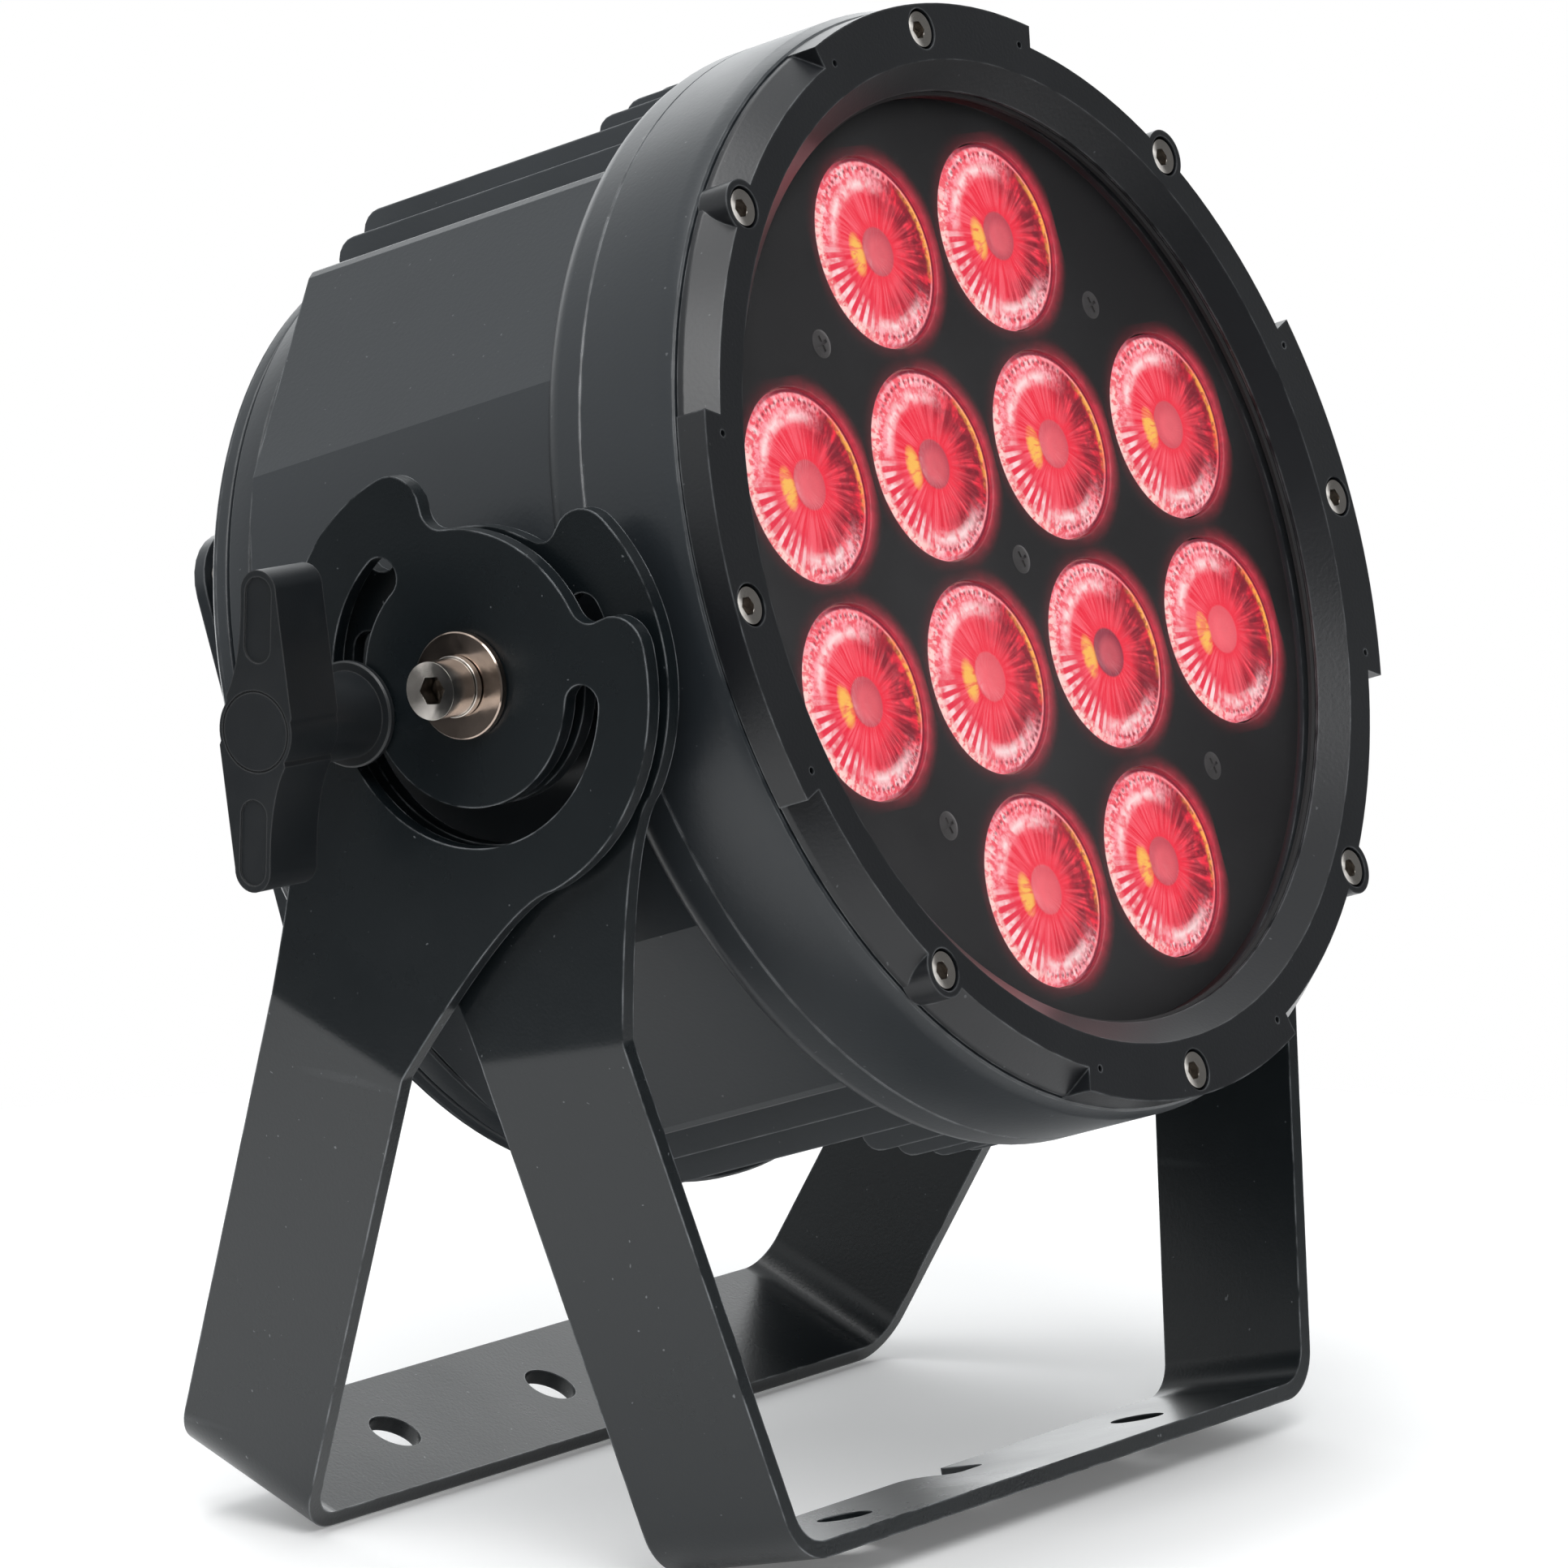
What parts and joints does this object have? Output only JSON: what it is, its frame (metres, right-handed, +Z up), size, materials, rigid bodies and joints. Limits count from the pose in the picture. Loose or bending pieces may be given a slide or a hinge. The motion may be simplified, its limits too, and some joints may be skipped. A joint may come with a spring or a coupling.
{
  "type": "par can light",
  "caption": "Round stage floodlight with a grid of deep lenses behind glass, a finned cast body and slotted floor yokes clamped by side knobs.",
  "frame": {"origin": "on the floor under the middle of the object's width and depth", "axes": "+X along the pivot axis towards the right lock knob, +Y towards the back, so the lamp faces -Y, +Z up"},
  "size_m": [0.368, 0.2265, 0.3501],
  "materials": {
    "cast_black": "cast, satin black powder coat",
    "steel_black": "bent steel strap, satin black powder coat",
    "stainless": "bright stainless",
    "rubber": "matt black",
    "black_nylon": "fine moulded grain",
    "clear_glass": "clear, polished",
    "red_lens": "clear lens filled with red light",
    "plate_black": "matt black",
    "board_white": "white solder mask",
    "bare_aluminium": "machined",
    "display_window": "dark window, unlit"
  },
  "bodies": {
    "inner_yoke": {"inner_yoke": "steel_black"},
    "head": {"housing": "cast_black", "bezel": "cast_black", "glass_gasket": "rubber", "front_glass": "clear_glass", "lens_plate": "plate_black", "lens_1": "red_lens", "lens_2": "red_lens", "lens_3": "red_lens", "lens_4": "red_lens", "lens_5": "red_lens", "lens_6": "red_lens", "lens_7": "red_lens", "lens_8": "red_lens", "lens_9": "red_lens", "lens_10": "red_lens", "lens_11": "red_lens", "lens_12": "red_lens", "led_board": "board_white", "heat_spreader": "bare_aluminium", "power_supply": "bare_aluminium", "rear_cover": "cast_black", "control_panel": "cast_black", "display": "display_window", "power_in_gland": "black_nylon", "power_out_gland": "black_nylon", "data_in_gland": "black_nylon", "data_out_gland": "black_nylon", "vent_plug": "black_nylon", "panel_screw_1": "stainless", "panel_screw_2": "stainless", "panel_screw_3": "stainless", "panel_screw_4": "stainless", "bezel_screw_1": "stainless", "bezel_screw_2": "stainless", "bezel_screw_3": "stainless", "bezel_screw_4": "stainless", "bezel_screw_5": "stainless", "bezel_screw_6": "stainless", "bezel_screw_7": "stainless", "bezel_screw_8": "stainless", "plate_screw_1": "stainless", "plate_screw_2": "stainless", "plate_screw_3": "stainless", "plate_screw_4": "stainless", "plate_screw_5": "stainless", "pivot_bolt_left": "stainless", "pivot_bolt_right": "stainless", "pivot_washer_left": "stainless", "pivot_washer_right": "stainless", "friction_ring_left": "black_nylon", "friction_ring_right": "black_nylon"},
    "outer_yoke": {"outer_yoke": "steel_black"},
    "lock_knob_left": {"lock_knob_left": "black_nylon"},
    "lock_knob_right": {"lock_knob_right": "black_nylon"},
    "menu_button_1": {"menu_button_1": "rubber"},
    "menu_button_2": {"menu_button_2": "rubber"},
    "menu_button_3": {"menu_button_3": "rubber"},
    "menu_button_4": {"menu_button_4": "rubber"}
  },
  "joints": [
    {"name": "tilt_hinge", "type": "hinge", "parent": "inner_yoke", "child": "head", "pos_m": [0, -0.01293, 0.2069], "axis": [1, 0, 0], "range_deg": [-195, 23]},
    {"name": "yoke_hinge", "type": "hinge", "parent": "head", "child": "outer_yoke", "pos_m": [0, -0.01293, 0.2069], "axis": [1, 0, 0], "range_deg": [-59, 159]},
    {"name": "left_knob_turn", "type": "hinge", "parent": "head", "child": "lock_knob_left", "pos_m": [0, 0.01783, 0.19806], "axis": [1, 0, 0], "range_deg": [0, 180]},
    {"name": "right_knob_turn", "type": "hinge", "parent": "head", "child": "lock_knob_right", "pos_m": [0, 0.01783, 0.19806], "axis": [1, 0, 0], "range_deg": [-180, 0]},
    {"name": "menu_button_1_press", "type": "slide", "parent": "head", "child": "menu_button_1", "axis": [0, -0.9511, 0.309], "range_m": [0, 0.0015], "stiffness_N_per_m": 400},
    {"name": "menu_button_2_press", "type": "slide", "parent": "head", "child": "menu_button_2", "axis": [0, -0.9511, 0.309], "range_m": [0, 0.0015], "stiffness_N_per_m": 400},
    {"name": "menu_button_3_press", "type": "slide", "parent": "head", "child": "menu_button_3", "axis": [0, -0.9511, 0.309], "range_m": [0, 0.0015], "stiffness_N_per_m": 400},
    {"name": "menu_button_4_press", "type": "slide", "parent": "head", "child": "menu_button_4", "axis": [0, -0.9511, 0.309], "range_m": [0, 0.0015], "stiffness_N_per_m": 400}
  ]
}
